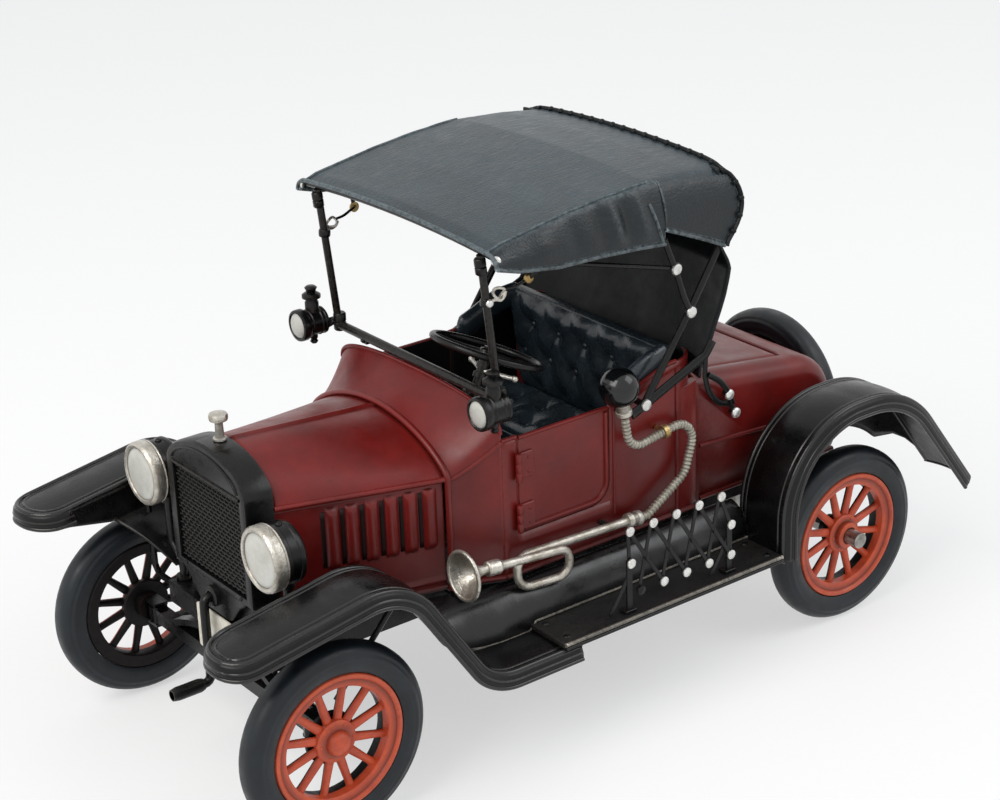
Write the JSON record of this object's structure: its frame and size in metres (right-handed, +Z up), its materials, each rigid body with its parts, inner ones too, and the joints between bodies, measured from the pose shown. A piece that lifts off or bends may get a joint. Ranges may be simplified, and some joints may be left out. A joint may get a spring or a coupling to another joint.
{
  "type": "toy tin roadster",
  "caption": "Tin toy roadster with friction drive, steered front wheels, opening doors and deck lid, folding-top roof, bulb horn, luggage gate and spare tyre.",
  "frame": {"origin": "on the floor under the middle of the car's bounding box", "axes": "+Z up; -Y points to the front of the car; +X is the car's left side"},
  "size_m": [0.1508, 0.3265, 0.1882],
  "materials": {
    "maroon_tin": "satin",
    "black_tin": "satin",
    "orange_tin": "satin",
    "slate_tin": "satin",
    "silver_tin": "worn metallic",
    "cream_tin": "satin",
    "steel": "bright drawn",
    "tyre_rubber": "matt",
    "bulb_rubber": "gloss",
    "seat_cloth": "gloss"
  },
  "bodies": {
    "car_body": {"spare_tyre": "tyre_rubber", "spare_carrier": "black_tin", "front_axle": "black_tin", "friction_motor_frame": "steel", "chassis_frame": "black_tin", "radiator_shell": "black_tin", "radiator_core": "black_tin", "radiator_cap": "silver_tin", "hood_top": "maroon_tin", "left_hood_side": "maroon_tin", "right_hood_side": "maroon_tin", "cowl": "maroon_tin", "body_tub": "maroon_tin", "floor_pan": "black_tin", "seat_cushion": "seat_cloth", "seat_back": "seat_cloth", "rear_deck": "maroon_tin", "steering_column": "black_tin", "windscreen_frame": "black_tin", "left_cowl_lamp": "black_tin", "right_cowl_lamp": "black_tin", "left_headlamp_rim": "silver_tin", "left_headlamp_shell": "black_tin", "right_headlamp_rim": "silver_tin", "right_headlamp_shell": "black_tin", "front_left_fender": "black_tin", "front_right_fender": "black_tin", "rear_left_fender": "black_tin", "rear_right_fender": "black_tin", "left_running_board": "black_tin", "left_splash_apron": "black_tin", "right_running_board": "black_tin", "right_splash_apron": "black_tin", "roof": "slate_tin", "rear_curtain": "black_tin", "left_top_iron": "black_tin", "right_top_iron": "black_tin", "bulb_horn": "silver_tin", "horn_hose": "silver_tin", "horn_bulb": "bulb_rubber", "luggage_gate": "silver_tin", "number_plate": "cream_tin"},
    "rear_wheel_set": {"rear_axle": "steel", "rear_left_wheel": "orange_tin", "rear_left_tyre": "tyre_rubber", "rear_right_wheel": "orange_tin", "rear_right_tyre": "tyre_rubber"},
    "flywheel": {"flywheel": "steel"},
    "left_knuckle": {"left_knuckle": "black_tin"},
    "right_knuckle": {"right_knuckle": "black_tin"},
    "tie_rod": {"tie_rod": "black_tin"},
    "front_left_wheel": {"front_left_wheel": "orange_tin", "front_left_tyre": "tyre_rubber"},
    "front_right_wheel": {"front_right_wheel": "orange_tin", "front_right_tyre": "tyre_rubber"},
    "steering_wheel": {"steering_wheel": "black_tin"},
    "left_door": {"left_door": "maroon_tin"},
    "right_door": {"right_door": "maroon_tin"},
    "deck_lid": {"deck_lid": "maroon_tin"},
    "crank_handle": {"crank_handle": "black_tin"}
  },
  "joints": [
    {"name": "rear_axle_spin", "type": "hinge", "parent": "car_body", "child": "rear_wheel_set", "pos_m": [0, 0.1047, 0.0335], "axis": [1, 0, 0], "continuous": true},
    {"name": "flywheel_spin", "type": "hinge", "parent": "car_body", "child": "flywheel", "pos_m": [0, 0.09084, 0.0415], "axis": [1, 0, 0], "continuous": true},
    {"name": "left_kingpin_turn", "type": "hinge", "parent": "car_body", "child": "left_knuckle", "pos_m": [0.05, -0.1203, 0.0335], "axis": [0, 0, 1], "range_deg": [-12, 12]},
    {"name": "right_kingpin_turn", "type": "hinge", "parent": "car_body", "child": "right_knuckle", "pos_m": [-0.05, -0.1203, 0.0335], "axis": [0, 0, 1], "range_deg": [-12, 12]},
    {"name": "tie_rod_pivot", "type": "hinge", "parent": "left_knuckle", "child": "tie_rod", "pos_m": [0.05, -0.1083, 0.0266], "axis": [0, 0, 1], "range_deg": [-12, 12]},
    {"name": "front_left_wheel_spin", "type": "hinge", "parent": "left_knuckle", "child": "front_left_wheel", "pos_m": [0.0615, -0.1203, 0.0335], "axis": [1, 0, 0], "continuous": true},
    {"name": "front_right_wheel_spin", "type": "hinge", "parent": "right_knuckle", "child": "front_right_wheel", "pos_m": [-0.0615, -0.1203, 0.0335], "axis": [1, 0, 0], "continuous": true},
    {"name": "steering_wheel_turn", "type": "hinge", "parent": "car_body", "child": "steering_wheel", "pos_m": [0.0225, -0.0258, 0.1287], "axis": [0, 0.4067, 0.9135], "range_deg": [-48, 48]},
    {"name": "left_door_swing", "type": "hinge", "parent": "car_body", "child": "left_door", "pos_m": [0.0481, -0.0333, 0.089], "axis": [0, 0, -1], "range_deg": [0, 28]},
    {"name": "right_door_swing", "type": "hinge", "parent": "car_body", "child": "right_door", "pos_m": [-0.0481, -0.0333, 0.089], "axis": [0, 0, 1], "range_deg": [0, 65]},
    {"name": "deck_lid_lift", "type": "hinge", "parent": "car_body", "child": "deck_lid", "pos_m": [0, 0.0572, 0.10346], "axis": [1, 0, 0], "range_deg": [0, 55]},
    {"name": "crank_turn", "type": "hinge", "parent": "car_body", "child": "crank_handle", "pos_m": [0, -0.13, 0.0616], "axis": [0, 1, 0], "continuous": true}
  ],
  "couplings": [
    {"joint": "flywheel_spin", "follows": "rear_axle_spin", "ratio": -3},
    {"joint": "right_kingpin_turn", "follows": "left_kingpin_turn", "ratio": 1},
    {"joint": "tie_rod_pivot", "follows": "left_kingpin_turn", "ratio": -1},
    {"joint": "steering_wheel_turn", "follows": "left_kingpin_turn", "ratio": 4}
  ]
}
